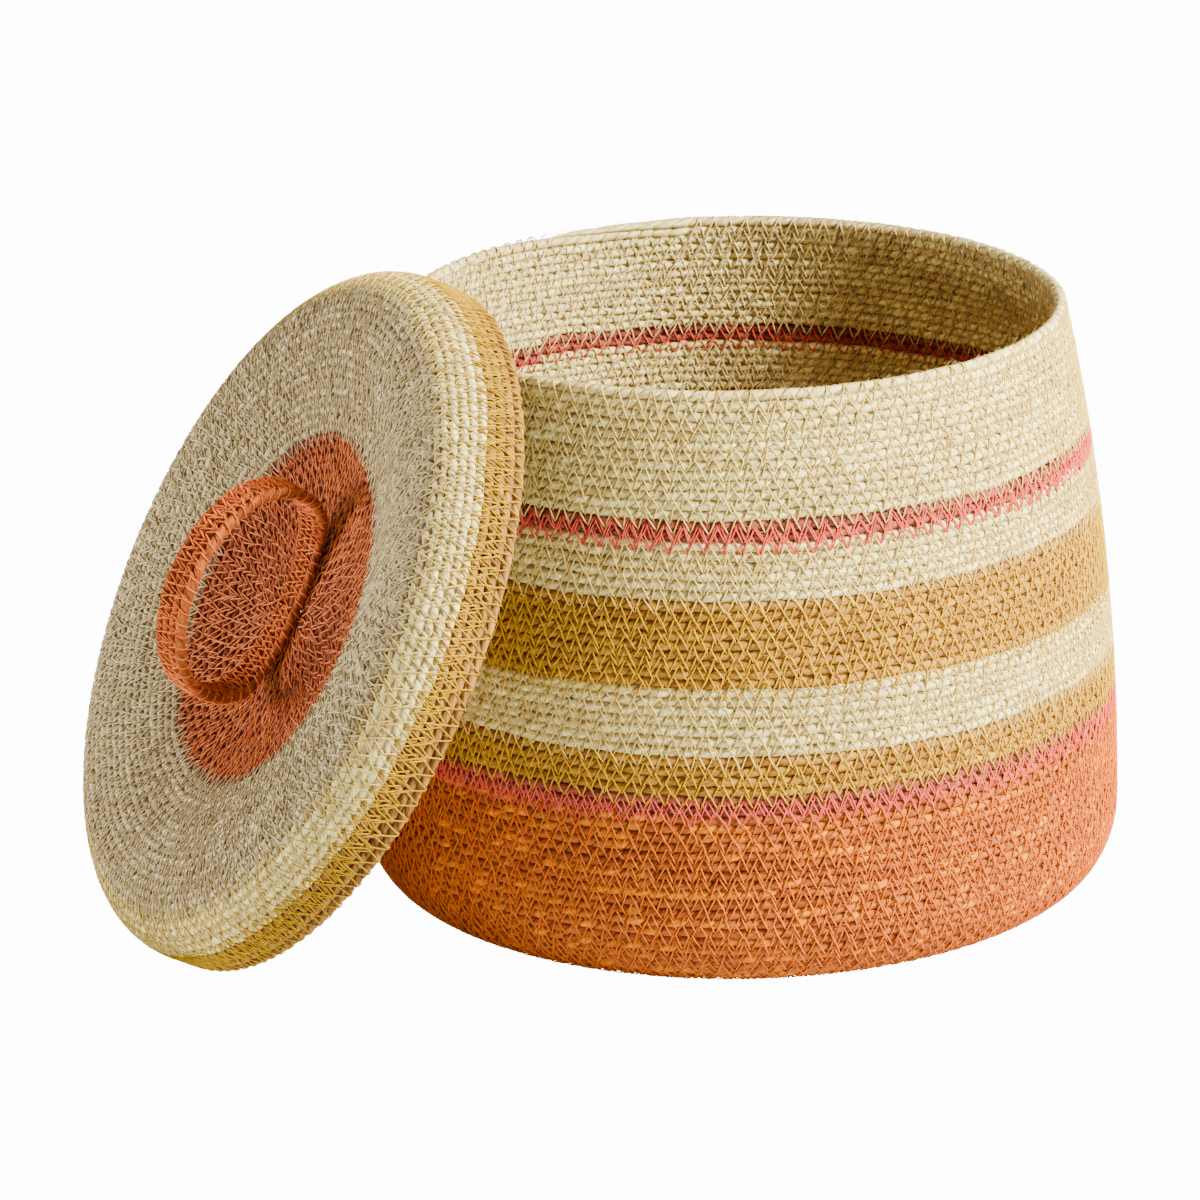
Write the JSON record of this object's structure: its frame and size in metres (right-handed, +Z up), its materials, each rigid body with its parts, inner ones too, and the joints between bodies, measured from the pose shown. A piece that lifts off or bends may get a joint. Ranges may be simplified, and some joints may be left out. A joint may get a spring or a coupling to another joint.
{
  "type": "lidded basket",
  "caption": "Round coiled seagrass basket with bulging walls and striped bands, its shallow looped lid taken off and leaning on the rim.",
  "frame": {"origin": "centre of the basket's base, on the surface it stands on", "axes": "+Z up the basket's axis; -Y towards the lid that leans on the rim; X to both sides of the lid, which is symmetric about X = 0"},
  "size_m": [0.3234, 0.4426, 0.2706],
  "materials": {
    "cream_cord": "undyed twisted seagrass cord with tan zigzag thread",
    "pink_cord": "pink-brown seagrass cord with coral zigzag thread",
    "ochre_cord": "ochre seagrass cord with yellow zigzag thread",
    "orange_cord": "burnt orange seagrass cord with bright orange zigzag thread"
  },
  "bodies": {
    "basket": {"cream_rim_band": "cream_cord", "pink_upper_stripe": "pink_cord", "cream_middle_band": "cream_cord", "ochre_wide_band": "ochre_cord", "cream_lower_band": "cream_cord", "ochre_narrow_band": "ochre_cord", "pink_lower_stripe": "pink_cord", "orange_lower_band": "orange_cord", "base_coil": "orange_cord"},
    "lid": {"lid_orange_centre": "orange_cord", "lid_cream_top": "cream_cord", "lid_ochre_skirt": "ochre_cord", "handle_loop": "orange_cord"}
  },
  "joints": [
    {"name": "lid_lift", "type": "slide", "parent": "basket", "child": "lid", "axis": [0, -0.8799, 0.4752], "range_m": [0, 0.25]}
  ]
}
